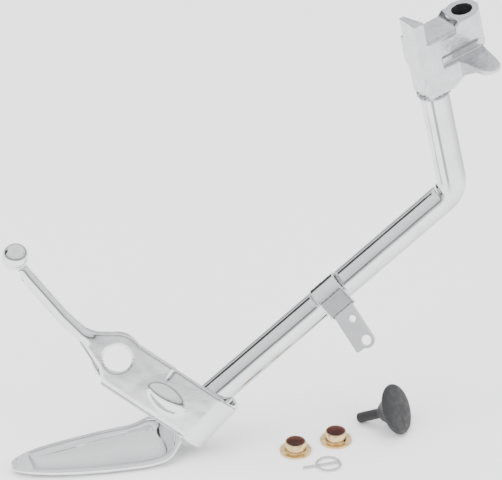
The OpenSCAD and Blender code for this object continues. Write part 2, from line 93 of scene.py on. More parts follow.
class StandSizes(bpy.types.PropertyGroup):
    axis_tilt: angle("Bore Tilt", "Lean of the pivot bore towards the foot", 10)
    head_turn: angle("Head Turn", "Turn of the head about the pivot bore", 34.5)
    boss_height: length("Boss Height", "Height of the boss round the pivot bore", 0.027)
    shank_offset: length("Shank Offset", "From the pivot bore to the tube's centre line", 0.0314)
    tube_radius: length("Tube Radius", "Outer radius of the leg tube", 0.009525)
    tube_top: length("Tube Top", "From the boss's middle down to the top of the tube", 0.033)
    bend_drop: length("Bend Drop", "From the boss's middle down to the corner of the bend", 0.1075)
    bend_angle: angle("Bend Angle", "Angle of the tube's bend", 58)
    bend_radius: length("Bend Radius", "Radius of the bend on the centre line", 0.018)
    leg_turn: angle("Leg Turn", "Turn of the leg's plane about the pivot bore", 8.8)
    shin_length: length("Shin Length", "From the bend's corner to the tube's lower end", 0.233)
    bracket_pos: length("Bracket Place", "From the bend's corner to the bracket's middle", 0.104)
    saddle_length: length("Saddle Length", "Length of the bracket's saddle", 0.019)
    lever_up: length("Lever Height", "From the tube's lower end up to the lever's middle", 0.0096)
    lever_face: angle("Lever Face", "Way round the tube that the lever's plate faces", 250)
    lever_lean: angle("Lever Lean", "Lean of the lever down the tube", 14)
    lever_back: length("Lever Back", "From the tube's centre line to the plate's back", 0.009575)
    foot_half_width: length("Foot Half Width", "Half width of the foot", 0.0198)
    foot_run: length("Foot Run", "Length of the foot's flat run", 0.082)
    heel_radius: length("Heel Radius", "Radius of the sole's curve at the heel", 0.057)
    foot_yaw: angle("Foot Yaw", "Yaw of the foot in plan", 15)
    near_rim: length("Near Rim", "Height of the foot's near rim", 0.0062)
    far_rim: length("Far Rim", "Height of the foot's far rim", 0.0085)
    heel_rise: length("Heel Rise", "Extra height of the far rim at the heel", 0.0046)
    heel_flare: length("Heel Flare", "Extra width of the far side at the heel", 0.0038)
    toe_lift: length("Toe Lift", "Lift of the toe off the ground", 0.0035)
    toe_half_width: length("Toe End", "Half width of the toe's very end", 0.001)
    toe_solid: FloatProperty(
        name="Solid Toe", description="Share of the run at which the dish starts to fill", default=0.81
    )
    foot_floor: length("Foot Floor", "Thickness of the foot's floor", 0.0026)
    foot_lip: length("Foot Lip", "Width of the foot's lip", 0.0022)
    wire_radius: length("Wire Radius", "Radius of the cotter's wire", 0.00085)
    sides: IntProperty(name="Sides", description="Sides of a turned piece", default=96, min=24)


class StandFinish(bpy.types.PropertyGroup):
    chrome: colour("Chrome", "Tint of the bright plating", (0.81, 0.82, 0.835))
    # partly painted shade: the forged tint is darker partly for the duller plating over the forging and
    # partly to stand for the head's shading
    forged: colour("Forged", "Tint of the plating over the forged head", (0.66, 0.67, 0.69))
    bore: colour("Bore", "Colour of the unplated pivot bore", (0.035, 0.036, 0.038))
    weld: colour("Weld", "Tint of the plating over the weld beads", (0.66, 0.67, 0.69))
    bronze: colour("Bronze", "Colour of the bushings", (0.83, 0.60, 0.30))
    liner: colour("Liner", "Colour of the bushings' liners", (0.115, 0.042, 0.032))
    rubber: colour("Rubber", "Colour of the bumper", (0.022, 0.022, 0.024))
    wire: colour("Wire", "Colour of the cotter's wire", (0.80, 0.80, 0.79))
    floor: colour("Floor", "Colour of the floor", (0.93, 0.93, 0.93))


def sizes():
    return bpy.context.scene.stand_sizes


def finish():
    return bpy.context.scene.stand_finish


# ---- frames: the same turns and shifts that place the CAD ----


def turn(radians, axis):
    return Matrix.Rotation(radians, 4, axis)


def shift(x, y, z):
    return Matrix.Translation((x, y, z))


def head_frame():
    s = sizes()
    return turn(-s.axis_tilt, "Y") @ turn(s.head_turn, "Z")


def leg_frame():
    s = sizes()
    across = -s.shank_offset * math.cos(s.head_turn)
    along = -s.shank_offset * math.sin(s.head_turn)
    return turn(-s.axis_tilt, "Y") @ shift(across, along, 0) @ turn(s.leg_turn, "Z")


def shin_frame():
    s = sizes()
    return leg_frame() @ shift(0, 0, -s.bend_drop) @ turn(s.bend_angle, "Y")


def lever_frame():
    s = sizes()
    face = turn(s.lever_face - math.radians(270), "Z") @ turn(math.radians(90), "X")
    return shin_frame() @ shift(0, 0, s.lever_up - s.shin_length) @ face @ turn(s.lever_lean, "Z")


# ---- shared makers ----


def link(name, mesh):
    obj = bpy.data.objects.new(name, mesh)
    bpy.context.scene.collection.objects.link(obj)
    return obj


def smooth(mesh):
    mesh.polygons.foreach_set("use_smooth", [True] * len(mesh.polygons))


def take_on(obj, body, slot_name, *stood_for):
    """The piece rides on its body and stands for its CAD nodes; the slot name is not used."""
    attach(obj, body)
    if stood_for:
        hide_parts(*stood_for)


def plain_mesh(obj, name):
    """The object with its modifiers, as one plain mesh in a new object."""
    graph = bpy.context.evaluated_depsgraph_get()
    mesh = bpy.data.meshes.new_from_object(obj.evaluated_get(graph))
    bpy.data.objects.remove(obj)
    mesh.name = name
    return link(name, mesh)


def merged_copy(node, name):
    mesh = NODES[node].data.copy()
    mesh.materials.clear()
    bm = bmesh.new()
    bm.from_mesh(mesh)
    bmesh.ops.remove_doubles(bm, verts=bm.verts, dist=2e-6)
    bm.to_mesh(mesh)
    bm.free()
    return link(name, mesh)


def softened(obj, name, voxel, passes):
    """One closed skin over a piece, with its edges worn round as on a plated forging."""
    remesh = obj.modifiers.new("skin", "REMESH")
    remesh.mode = "VOXEL"
    remesh.voxel_size = voxel
    wear = obj.modifiers.new("wear", "SMOOTH")
    wear.factor = 0.5
    wear.iterations = passes
    made = plain_mesh(obj, name)
    smooth(made.data)
    return made


def lathe(name, profile, frame_matrix, sides, material):
    """A turned piece: profile is a list of (radius, height) from the axis round to the axis or closed."""
    bm = bmesh.new()
    rings = []
    for radius, height in profile:
        if radius < 1e-7:
            rings.append([bm.verts.new((0, 0, height))])
        else:
            rings.append(
                [
                    bm.verts.new(
                        (
                            radius * math.cos(math.tau * i / sides),
                            radius * math.sin(math.tau * i / sides),
                            height,
                        )
                    )
                    for i in range(sides)
                ]
            )
    if len(rings[0]) > 1:
        rings.append(rings[0])
    for low, high in zip(rings, rings[1:]):
        for i in range(sides):
            j = (i + 1) % sides
            corners = [low[i % len(low)], low[j % len(low)], high[j % len(high)], high[i % len(high)]]
            face = list(dict.fromkeys(corners))
            if len(face) > 2:
                bm.faces.new(face)
    bmesh.ops.recalc_face_normals(bm, faces=bm.faces)
    bm.transform(frame_matrix)
    mesh = bpy.data.meshes.new(name)
    bm.to_mesh(mesh)
    bm.free()
    smooth(mesh)
    mesh.materials.append(material)
    return link(name, mesh)


def rounded(corners, radius, steps=5):
    """A profile with each inner corner rounded; a corner may give its own radius as a third value."""
    out = []
    for k, corner in enumerate(corners):
        here = Vector(corner[:2])
        size = corner[2] if len(corner) > 2 else radius
        if k == 0 or k == len(corners) - 1 or size <= 0:
            out.append((here.x, here.y))
            continue
        back = (Vector(corners[k - 1][:2]) - here).normalized()
        on = (Vector(corners[k + 1][:2]) - here).normalized()
        start, end = here + back * size, here + on * size
        for i in range(steps + 1):
            t = i / steps
            p = start * (1 - t) ** 2 + here * 2 * t * (1 - t) + end * t * t
            out.append((p.x, p.y))
    return out


def path_mesh(name, points):
    """An open line of edges through the points."""
    mesh = bpy.data.meshes.new(name)
    edges = [(i, i + 1) for i in range(len(points) - 1)]
    mesh.from_pydata([tuple(p) for p in points], edges, [])
    return link(name, mesh)


def joined(first, second, name):
    """Two plain pieces as one, under a new name."""
    bm = bmesh.new()
    bm.from_mesh(first.data)
    bm.from_mesh(second.data)
    bm.to_mesh(first.data)
    bm.free()
    bpy.data.objects.remove(second)
    first.name = name
    return first


# ---- geometry node trees ----


def new_tree(name, inputs):
    tree = bpy.data.node_groups.new(name, "GeometryNodeTree")
    tree.interface.new_socket("Geometry", in_out="INPUT", socket_type="NodeSocketGeometry")
    for label, kind, value in inputs:
        socket = tree.interface.new_socket(label, in_out="INPUT", socket_type=kind)
        if value is not None:
            socket.default_value = value
    tree.interface.new_socket("Geometry", in_out="OUTPUT", socket_type="NodeSocketGeometry")
    return tree, tree.nodes.new("NodeGroupInput"), tree.nodes.new("NodeGroupOutput")


def end_tree(tree, entry, leave, geometry):
    real = tree.nodes.new("GeometryNodeRealizeInstances")
    shade = tree.nodes.new("GeometryNodeSetShadeSmooth")
    paint = tree.nodes.new("GeometryNodeSetMaterial")
    tree.links.new(geometry, real.inputs["Geometry"])
    tree.links.new(real.outputs["Geometry"], shade.inputs["Geometry"])
    tree.links.new(shade.outputs["Geometry"], paint.inputs["Geometry"])
    tree.links.new(entry.outputs["Material"], paint.inputs["Material"])
    tree.links.new(paint.outputs["Geometry"], leave.inputs["Geometry"])
    return tree


def sweep_tree():
    """Sweeps a round section along the object's own path of edges."""
    tree, entry, leave = new_tree(
        "SweptRod",
        [
            ("Radius", "NodeSocketFloat", 0.001),
            ("Sides", "NodeSocketInt", 32),
            ("Material", "NodeSocketMaterial", None),
        ],
    )
    to_curve = tree.nodes.new("GeometryNodeMeshToCurve")
    ring = tree.nodes.new("GeometryNodeCurvePrimitiveCircle")
    skin = tree.nodes.new("GeometryNodeCurveToMesh")
    skin.inputs["Fill Caps"].default_value = True
    tree.links.new(entry.outputs["Geometry"], to_curve.inputs["Mesh"])
    tree.links.new(entry.outputs["Radius"], ring.inputs["Radius"])
    tree.links.new(entry.outputs["Sides"], ring.inputs["Resolution"])
    tree.links.new(to_curve.outputs["Curve"], skin.inputs["Curve"])
    tree.links.new(ring.outputs["Curve"], skin.inputs["Profile Curve"])
    return end_tree(tree, entry, leave, skin.outputs["Mesh"])


def bead_tree():
    """Lays overlapping weld ripples along the object's own path of edges."""
    tree, entry, leave = new_tree(
        "WeldRipples",
        [
            ("Ripple Radius", "NodeSocketFloat", 0.0016),
            ("Pitch", "NodeSocketFloat", 0.001),
            ("Unevenness", "NodeSocketFloat", 0.12),
            ("Seed", "NodeSocketInt", 3),
            ("Material", "NodeSocketMaterial", None),
        ],
    )
    to_curve = tree.nodes.new("GeometryNodeMeshToCurve")
    walk = tree.nodes.new("GeometryNodeResampleCurve")
    walk.mode = "LENGTH"
    tangent = tree.nodes.new("GeometryNodeInputTangent")
    face = tree.nodes.new("FunctionNodeAlignRotationToVector")
    face.axis = "Z"
    lump = tree.nodes.new("GeometryNodeMeshIcoSphere")
    lump.inputs["Subdivisions"].default_value = 3
    squash = tree.nodes.new("GeometryNodeTransform")
    squash.inputs["Scale"].default_value = (1, 1, 0.62)
    low = tree.nodes.new("ShaderNodeMath")
    low.operation = "SUBTRACT"
    low.inputs[0].default_value = 1
    vary = tree.nodes.new("FunctionNodeRandomValue")
    vary.data_type = "FLOAT"
    spread = tree.nodes.new("GeometryNodeInstanceOnPoints")
    tree.links.new(entry.outputs["Geometry"], to_curve.inputs["Mesh"])
    tree.links.new(to_curve.outputs["Curve"], walk.inputs["Curve"])
    tree.links.new(entry.outputs["Pitch"], walk.inputs["Length"])
    tree.links.new(tangent.outputs["Tangent"], face.inputs["Vector"])
    tree.links.new(entry.outputs["Ripple Radius"], lump.inputs["Radius"])
    tree.links.new(lump.outputs["Mesh"], squash.inputs["Geometry"])
    tree.links.new(entry.outputs["Unevenness"], low.inputs[1])
    tree.links.new(low.outputs[0], vary.inputs[2])
    vary.inputs[3].default_value = 1.0
    tree.links.new(entry.outputs["Seed"], vary.inputs["Seed"])
    tree.links.new(walk.outputs["Curve"], spread.inputs["Points"])
    tree.links.new(squash.outputs["Geometry"], spread.inputs["Instance"])
    tree.links.new(face.outputs["Rotation"], spread.inputs["Rotation"])
    tree.links.new(vary.outputs[1], spread.inputs["Scale"])
    return end_tree(tree, entry, leave, spread.outputs["Instances"])


def grown(obj, tree_name, maker, name, **values):
    """Runs a node tree on a path object and returns the plain mesh it makes."""
    tree = bpy.data.node_groups.get(tree_name) or maker()
    grow = obj.modifiers.new("grow", "NODES")
    grow.node_group = tree
    for item in tree.interface.items_tree:
        if item.item_type == "SOCKET" and item.in_out == "INPUT" and item.name in values:
            grow[item.identifier] = values[item.name]
    return plain_mesh(obj, name)


# ---- materials ----

# painted reflections on the tube: tones of its dark and light reflected bands, each at its way round the
# thigh or the shin
THIGH_PAINTED_REFLECTIONS = (
    (0.04, 0.96), (0.18, 1.0), (0.193, 0.32), (0.207, 0.32), (0.222, 0.94),
    (0.33, 0.95), (0.38, 0.72), (0.43, 0.42), (0.48, 0.55), (0.55, 0.9),
    (0.68, 0.98), (0.72, 0.45), (0.75, 0.95), (0.9, 0.98),
)
SHIN_PAINTED_REFLECTIONS = (
    (0.02, 1.0), (0.24, 1.0), (0.30, 0.88), (0.355, 0.68), (0.40, 0.50),
    (0.47, 0.66), (0.60, 0.95), (0.82, 0.95), (0.88, 0.8), (0.95, 1.0),
)

# heights in the leg's frame between which the shin's painted reflections give way to the thigh's
THIGH_REFLECTION_FADE = (-0.106, -0.094)


def socket(group, label, kind, way, value=None):
    made = group.interface.new_socket(label, in_out=way, socket_type=kind)
    if value is not None:
        made.default_value = value
    return made


def ripple_group():
    """Long soft waves and a fine pebble, as one height and one mask for any plated surface."""
    if "PlatingRipple" in bpy.data.node_groups:
        return bpy.data.node_groups["PlatingRipple"]
    group = bpy.data.node_groups.new("PlatingRipple", "ShaderNodeTree")
    socket(group, "Vector", "NodeSocketVector", "INPUT")
    socket(group, "Wave Scale", "NodeSocketFloat", "INPUT", 60)
    socket(group, "Pebble Scale", "NodeSocketFloat", "INPUT", 900)
    socket(group, "Pebble Share", "NodeSocketFloat", "INPUT", 0.2)
    socket(group, "Height", "NodeSocketFloat", "OUTPUT")
    socket(group, "Mask", "NodeSocketFloat", "OUTPUT")
    entry = group.nodes.new("NodeGroupInput")
    leave = group.nodes.new("NodeGroupOutput")
    wave = group.nodes.new("ShaderNodeTexNoise")
    wave.inputs["Detail"].default_value = 2
    pebble = group.nodes.new("ShaderNodeTexNoise")
    pebble.inputs["Detail"].default_value = 4
    mix = group.nodes.new("ShaderNodeMix")
    mix.data_type = "FLOAT"
    ramp = group.nodes.new("ShaderNodeMapRange")
    ramp.inputs["From Min"].default_value = 0.35
    ramp.inputs["From Max"].default_value = 0.65
    link_up = group.links.new
    link_up(entry.outputs["Vector"], wave.inputs["Vector"])
    link_up(entry.outputs["Vector"], pebble.inputs["Vector"])
    link_up(entry.outputs["Wave Scale"], wave.inputs["Scale"])
    link_up(entry.outputs["Pebble Scale"], pebble.inputs["Scale"])
    link_up(entry.outputs["Pebble Share"], mix.inputs[0])
    link_up(wave.outputs["Fac"], mix.inputs[2])
    link_up(pebble.outputs["Fac"], mix.inputs[3])
    link_up(mix.outputs[0], leave.inputs["Height"])
    link_up(wave.outputs["Fac"], ramp.inputs["Value"])
    link_up(ramp.outputs["Result"], leave.inputs["Mask"])
    return group


def blank_material(name):
    made = bpy.data.materials.new(name)
    made.use_nodes = True
    shader = made.node_tree.nodes["Principled BSDF"]
    return made, made.node_tree, shader


def plated(name, tint, rough, wave, pebble, share, depth, metal=1.0, dark=0.9):
    """A finish whose tint, gloss and relief all vary a little over the surface."""
    if name in bpy.data.materials:
        return bpy.data.materials[name]
    made, tree, shader = blank_material(name)
    nodes, wire = tree.nodes, tree.links.new
    place = nodes.new("ShaderNodeTexCoord")
    ripple = nodes.new("ShaderNodeGroup")
    ripple.node_tree = ripple_group()
    ripple.inputs["Wave Scale"].default_value = wave
    ripple.inputs["Pebble Scale"].default_value = pebble
    ripple.inputs["Pebble Share"].default_value = share
    tone = nodes.new("ShaderNodeMix")
    tone.data_type = "RGBA"
    tone.inputs[6].default_value = (tint[0] * dark, tint[1] * dark, tint[2] * dark, 1)
    tone.inputs[7].default_value = (*tint, 1)
    gloss = nodes.new("ShaderNodeMapRange")
    gloss.inputs["To Min"].default_value = rough * 0.8
    gloss.inputs["To Max"].default_value = rough * 1.25
    bump = nodes.new("ShaderNodeBump")
    bump.inputs["Distance"].default_value = depth
    bump.inputs["Strength"].default_value = 1.0
    wire(place.outputs["Object"], ripple.inputs["Vector"])
    wire(ripple.outputs["Mask"], tone.inputs[0])
    wire(tone.outputs[2], shader.inputs["Base Color"])
    wire(ripple.outputs["Mask"], gloss.inputs["Value"])
    wire(gloss.outputs["Result"], shader.inputs["Roughness"])
    wire(ripple.outputs["Height"], bump.inputs["Height"])
    wire(bump.outputs["Normal"], shader.inputs["Normal"])
    shader.inputs["Metallic"].default_value = metal
    return made


def bright_chrome():
    return plated("bright_chrome", finish().chrome, 0.07, 45, 1400, 0.06, 0.00018)


def tone_around(tree, frame_matrix, tones):
    """A tone that changes with the way round the Z axis of a frame, and the point in that frame."""
    nodes, wire = tree.nodes, tree.links.new
    inward = frame_matrix.inverted()
    place = nodes.new("ShaderNodeTexCoord")
    lay = nodes.new("ShaderNodeMapping")
    lay.inputs["Location"].default_value = inward.to_translation()
    lay.inputs["Rotation"].default_value = inward.to_euler()
    around = nodes.new("ShaderNodeTexGradient")
    around.gradient_type = "RADIAL"
    # painted reflections: a ramp of light and dark bands round the frame's Z axis
    reflection_ramp = nodes.new("ShaderNodeValToRGB")
    band = reflection_ramp.color_ramp
    first = tones[0][1]
    for end in band.elements:
        end.color = (first, first, first, 1)
    for at, value in tones:
        element = band.elements.new(at)
        element.color = (value, value, value, 1)
    wire(place.outputs["Object"], lay.inputs["Vector"])
    wire(lay.outputs["Vector"], around.inputs["Vector"])
    wire(around.outputs["Fac"], reflection_ramp.inputs["Fac"])
    return reflection_ramp.outputs["Color"], lay.outputs["Vector"]


def tube_chrome_painted_reflections():
    """Bright plating over drawn tube, with painted reflections: long dark and light bands along it that
    stand for reflected lines.
    """
    made = bright_chrome().copy()
    made.name = "tube_chrome_painted_reflections"
    tree = made.node_tree
    nodes, wire = tree.nodes, tree.links.new
    shader = nodes["Principled BSDF"]
    plain = shader.inputs["Base Color"].links[0].from_socket
    # painted reflections round the thigh and the shin, multiplied into the plating's colour
    thigh_reflections, in_leg = tone_around(tree, leg_frame(), THIGH_PAINTED_REFLECTIONS)
    shin_reflections, _ = tone_around(tree, shin_frame(), SHIN_PAINTED_REFLECTIONS)
    high = nodes.new("ShaderNodeSeparateXYZ")
    thigh = nodes.new("ShaderNodeMapRange")
    thigh.inputs["From Min"].default_value, thigh.inputs["From Max"].default_value = THIGH_REFLECTION_FADE
    reflection_mix = nodes.new("ShaderNodeMix")
    reflection_mix.data_type = "RGBA"
    both = nodes.new("ShaderNodeMix")
    both.data_type = "RGBA"
    both.blend_type = "MULTIPLY"
    both.inputs[0].default_value = 1.0
    wire(in_leg, high.inputs["Vector"])
    wire(high.outputs["Z"], thigh.inputs["Value"])
    wire(thigh.outputs["Result"], reflection_mix.inputs[0])
    wire(shin_reflections, reflection_mix.inputs[6])
    wire(thigh_reflections, reflection_mix.inputs[7])
    wire(plain, both.inputs[6])
    wire(reflection_mix.outputs[2], both.inputs[7])
    wire(both.outputs[2], shader.inputs["Base Color"])
    return made


# partly painted shade: the whole head is tinted darker than the bright chrome to stand for its shading, and
# partly for the duller plating over the forging
def forged_chrome_and_shade():
    return plated("forged_chrome_and_shade", finish().forged, 0.20, 160, 1300, 0.25, 0.0005, dark=0.86)


def bare_bore():
    return plated("bare_bore", finish().bore, 0.5, 300, 2600, 0.4, 0.0003, metal=0.3, dark=0.6)


def weld_chrome():
    return plated("weld_chrome", finish().weld, 0.26, 520, 2600, 0.4, 0.0006, dark=0.45)


def turned_bronze():
    return plated("turned_bronze", finish().bronze, 0.16, 260, 3200, 0.3, 0.00012, dark=0.72)


def liner_brown():
    return plated("liner_brown", finish().liner, 0.5, 900, 5200, 0.5, 0.0002, metal=0, dark=0.5)


def moulded_rubber():
    return plated("moulded_rubber", finish().rubber, 0.55, 220, 2600, 0.5, 0.0003, metal=0, dark=0.7)


def drawn_wire():
    return plated("drawn_wire", finish().wire, 0.2, 700, 4200, 0.4, 0.0001, dark=0.8)


# ---- the foot's loft ----


def ease(t):
    t = max(0.0, min(1.0, t))
    return t * t * (3 - 2 * t)


def mix(a, b, t):
    return a + (b - a) * t


def signed_power(value, power):
    return math.copysign(abs(value) ** power, value)


class FootLoft:
    """The rings of the pressed foot, from the tube's round end to the toe."""

    TOE_ROUNDNESS = 1.7
    TOE_DROP = 0.001
    FILL_RUN = 0.05

    def __init__(self, heel_rings, run_rings):
        s = self.s = sizes()
        self.heel_rings, self.rings = heel_rings, heel_rings + run_rings
        leg, shin = leg_frame(), shin_frame()
        down = (shin.to_3x3() @ Vector((0, 0, -1))).normalized()
        self.end = shin @ Vector((0, 0, -s.shin_length))
        self.pitch = math.asin(-down.z)
        self.yaw = math.atan2(-down.y, -down.x)
        self.fwd = Vector((-math.cos(s.foot_yaw), -math.sin(s.foot_yaw), 0))
        reach = (s.heel_radius - s.tube_radius) * math.sin(self.pitch)
        drop = s.heel_radius - (s.heel_radius - s.tube_radius) * math.cos(self.pitch)
        self.ground = self.end.z - drop
        self.heel_end = Vector((self.end.x, self.end.y, self.ground)) + self.fwd * reach

    def heel_t(self, k):
        return min(1.0, k / self.heel_rings)

    def run_t(self, k):
        if k < self.heel_rings:
            return 0.0
        return math.sin(math.pi / 2 * (k - self.heel_rings) / (self.rings - 1 - self.heel_rings))

    def sole(self, k):
        s, pitch = self.s, self.pitch * (1 - self.heel_t(k))
        if k < self.heel_rings:
            up = Vector((0, 0, s.heel_radius))
            arm = self.fwd * math.sin(pitch) + Vector((0, 0, math.cos(pitch)))
            return self.heel_end + up - arm * s.heel_radius
        run = self.run_t(k)
        return self.heel_end + self.fwd * s.foot_run * run + Vector((0, 0, s.toe_lift * run**4))

    def widening(self, k):
        return ease(1.5 * self.heel_t(k))

    def near_heel(self, k):
        if k < self.heel_rings:
            return self.widening(k) * (1 - max(0, self.heel_t(k) - 0.5))
        return 0.5 * (1 - self.run_t(k))

    def half_width(self, k):
        s = self.s
        if k < self.heel_rings:
            return mix(s.tube_radius, s.foot_half_width, self.widening(k))
        narrowing = self.run_t(k) ** self.TOE_ROUNDNESS
        return mix(s.toe_half_width, s.foot_half_width, math.sqrt(max(0, 1 - narrowing)))

    def point(self, k, a):
        s = self.s
        yaw = mix(self.yaw, s.foot_yaw, ease(2 * self.heel_t(k)))
        pitch = self.pitch * (1 - self.heel_t(k))
        side = Vector((-math.sin(yaw), math.cos(yaw), 0))
        fwd = Vector(
            (-math.cos(yaw) * math.cos(pitch), -math.sin(yaw) * math.cos(pitch), -math.sin(pitch))
        )
        up = -fwd.cross(side)
        dish = ease(1.6 * self.heel_t(k))
        low = math.sin(a) < 0
        bulge = mix(1, 0.45 if low else 0.8, dish)
        c, sn = signed_power(math.cos(a), bulge), signed_power(math.sin(a), bulge)
        width = self.half_width(k)
        flat = mix(s.near_rim, s.far_rim + s.heel_rise * self.near_heel(k), (c + 1) / 2)
        if k < self.heel_rings:
            top = mix(s.tube_radius, flat, self.widening(k))
        else:
            top = flat - (s.toe_lift + self.TOE_DROP) * self.run_t(k) ** 6
        lip = min(s.foot_lip, 0.4 * width)
        inner = mix(width, width - lip, dish)
        hollow = 1 - ease((self.run_t(k) - s.toe_solid) / self.FILL_RUN)
        depth = min(top - s.foot_floor, 1.2 * width) * hollow
        flare = s.heel_flare * self.near_heel(k) * c if c > 0 else 0
        across = (width if low else inner) * c + flare
        if low:
            rise = top * (1 + sn)
        else:
            rise = mix(top + s.tube_radius * sn, top - depth * sn, dish)
        return self.sole(k) + side * across + up * rise


# ---- the lever's lines, as (x, y) in the lever's frame, from the leg out to the ball ----

LOWER_EDGE = (
    (0.010, -0.0168), (-0.0605, -0.0168), (-0.0640, -0.0128), (-0.0667, -0.0103),
    (-0.0777, -0.0053), (-0.0880, -0.0010), (-0.1020, 0.0012), (-0.1150, 0.0047),
    (-0.1390, 0.0117),
)
SHANK_MIDDLE = (
    (-0.0780, 0.0035), (-0.0880, 0.0040), (-0.1040, 0.0072), (-0.1370, 0.0165), (-0.1460, 0.0197),
)
# the narrow groove behind which the rolled lower edge stands
GROOVE_ABOVE_EDGE = 0.0019
GROOVE_WIDTH = 0.0008
GROOVE_DEPTH = 0.0006
# the shank's crown
SHANK_HALF_WIDTH = 0.0044
CROWN_DROP = 0.0016


def along_points(points, x):
    """The height of a line of points at x, which falls from one point to the next."""
    for (x0, y0), (x1, y1) in zip(points, points[1:]):
        if x >= x1:
            return mix(y0, y1, max(0, (x - x0) / (x1 - x0)))
    return points[-1][1]


# ---- operators: one for each piece or group of like pieces ----


class StandOperator:
    bl_options = {"REGISTER", "UNDO"}


class KICKSTAND_OT_head(StandOperator, bpy.types.Operator):
    """Skin the forged pivot head, with its ledge lip and worn edges"""

    bl_idname = "kickstand.head"
    bl_label = "Pivot Head"

    LIP_AT = (-0.0245, -0.0108)
    LIP_BELOW_TOP = 0.0058
    LIP_SIZE = (0.0225, 0.0022, 0.0016)
    BARE_WITHIN = 0.0071
    LEVEL_LIMIT = 0.7

    def execute(self, context):
        s = sizes()
        top = s.boss_height / 2
        raw = merged_copy("pivot_head", "head_raw")
        bm = bmesh.new()
        bm.from_mesh(raw.data)
        # the rolled lip along the front of the shelf
        lip = bmesh.ops.create_cube(bm, size=1)["verts"]
        place = head_frame() @ shift(*self.LIP_AT, top - self.LIP_BELOW_TOP)
        bmesh.ops.transform(bm, matrix=place @ Matrix.Diagonal((*self.LIP_SIZE, 1)), verts=lip)
        bm.to_mesh(raw.data)
        bm.free()
        piece = softened(raw, "forged_head", 0.00055, 6)
        piece.data.materials.append(forged_chrome_and_shade())
        piece.data.materials.append(bare_bore())
        # the walls of the bore are left unplated
        back = head_frame().inverted()
        for face in piece.data.polygons:
            p = back @ face.center
            level = abs((back.to_3x3() @ face.normal).z)
            if p.xy.length < self.BARE_WITHIN and level < self.LEVEL_LIMIT:
                face.material_index = 1
        take_on(piece, "leg", "chrome", "pivot_head")
        return {"FINISHED"}


class KICKSTAND_OT_tube(StandOperator, bpy.types.Operator):
    """Sweep the bent leg tube along its path, with the small crumple inside the bend"""

    bl_idname = "kickstand.tube"
    bl_label = "Leg Tube"

    CRUMPLE_REACH = 0.011
    CRUMPLE_DEPTH = 0.0004
    CRUMPLE_WAVES = 1500

    def execute(self, context):
        s = sizes()
        leg, shin = leg_frame(), shin_frame()
        reach = s.bend_radius * math.tan(s.bend_angle / 2)
        points = []
        for i in range(40):
            points.append(leg @ Vector((0, 0, mix(-s.tube_top, -s.bend_drop + reach, i / 40))))
        centre = leg @ shift(-s.bend_radius, 0, -s.bend_drop + reach)
        for i in range(33):
            a = s.bend_angle * i / 32
            points.append(
                centre @ Vector((s.bend_radius * math.cos(a), 0, -s.bend_radius * math.sin(a)))
            )
        for i in range(1, 121):
            points.append(shin @ Vector((0, 0, mix(-reach, -s.shin_length + 0.0002, i / 120))))
        path = path_mesh("tube_path", points)
        tube = grown(
            path,
            "SweptRod",
            sweep_tree,
            "bent_tube",
            Radius=s.tube_radius,
            Sides=s.sides,
            Material=tube_chrome_painted_reflections(),
        )
        # the wall folds a little where it was squeezed
        corner = centre @ Vector((s.bend_radius * 0.47, 0, -s.bend_radius * 0.47 * 0.62))
        inward = (leg.to_3x3() @ Vector((0.88, 0, -0.48))).normalized()
        up_shin = shin.to_3x3() @ Vector((0, 0, 1))
        for v in tube.data.vertices:
            away = (v.co - corner).length
            if away < self.CRUMPLE_REACH:
                fade = ease(1 - away / self.CRUMPLE_REACH)
                fold = math.sin((v.co - corner).dot(up_shin) * self.CRUMPLE_WAVES)
                v.co += inward * fade * (self.CRUMPLE_DEPTH + self.CRUMPLE_DEPTH * fold)
        take_on(tube, "leg", "chrome", "leg_tube")
        return {"FINISHED"}


class KICKSTAND_OT_welds(StandOperator, bpy.types.Operator):
    """Lay the rippled weld beads at the head, the bracket, the lever and the foot"""

    bl_idname = "kickstand.welds"
    bl_label = "Weld Beads"

    def ripples(self, name, points, size, pitch, seed):
        """Weld ripples of one size and pitch along a line of points."""
        return grown(
            path_mesh(name + "_path", points),
            "WeldRipples",
            bead_tree,
            name,
            **{
                "Ripple Radius": size,
                "Pitch": pitch,
                "Unevenness": 0.16,
                "Seed": seed,
                "Material": weld_chrome(),
            },
        )

    def bead(self, name, frame_matrix, radius, start, end, size, seed):
        """A bead along an arc about a frame's Z axis, from one angle to another."""
        steps = 72
        points = []
        for i in range(steps + 1):
            a = mix(start, end, i / steps)
            points.append(frame_matrix @ Vector((radius * math.cos(a), radius * math.sin(a), 0)))
        return self.ripples(name, points, size, size * 0.55, seed)

    def execute(self, context):
        s = sizes()
        leg, shin = leg_frame(), shin_frame()
        r = s.tube_radius
        sunk = 0.0001
        nearly_full = math.tau * 0.995
        place = leg @ shift(0, 0, -s.tube_top)
        head = self.bead("head_bead", place, r - sunk, 0, nearly_full, 0.0019, 3)
        take_on(head, "leg", "weld", "head_weld")
        start, end = math.radians(187), math.radians(247)
        ends = []
        for side in (-1, 1):
            place = shin @ shift(0, 0, -s.bracket_pos + side * (s.saddle_length / 2 + 0.0013))
            ends.append(self.bead("saddle_bead", place, r, start, end, 0.0014, 5 + side))
        take_on(joined(*ends, "saddle_beads"), "leg", "weld", "bracket_weld")
        place = shin @ shift(0, 0, -s.shin_length + 0.0012)
        start, end = math.radians(60), math.radians(215)
        foot = self.bead("foot_bead", place, r - sunk, start, end, 0.0016, 9)
        take_on(foot, "leg", "weld", "foot_weld")
        across = shin @ shift(0, 0, s.lever_up - s.shin_length) @ turn(s.lever_face, "Z")
        points = [across @ Vector((r - 0.0011, -0.0052, z * 0.001)) for z in range(-10, 11)]
        lever = self.ripples("lever_bead", points, 0.0015, 0.0009, 11)
        take_on(lever, "leg", "weld", "lever_weld")
        return {"FINISHED"}


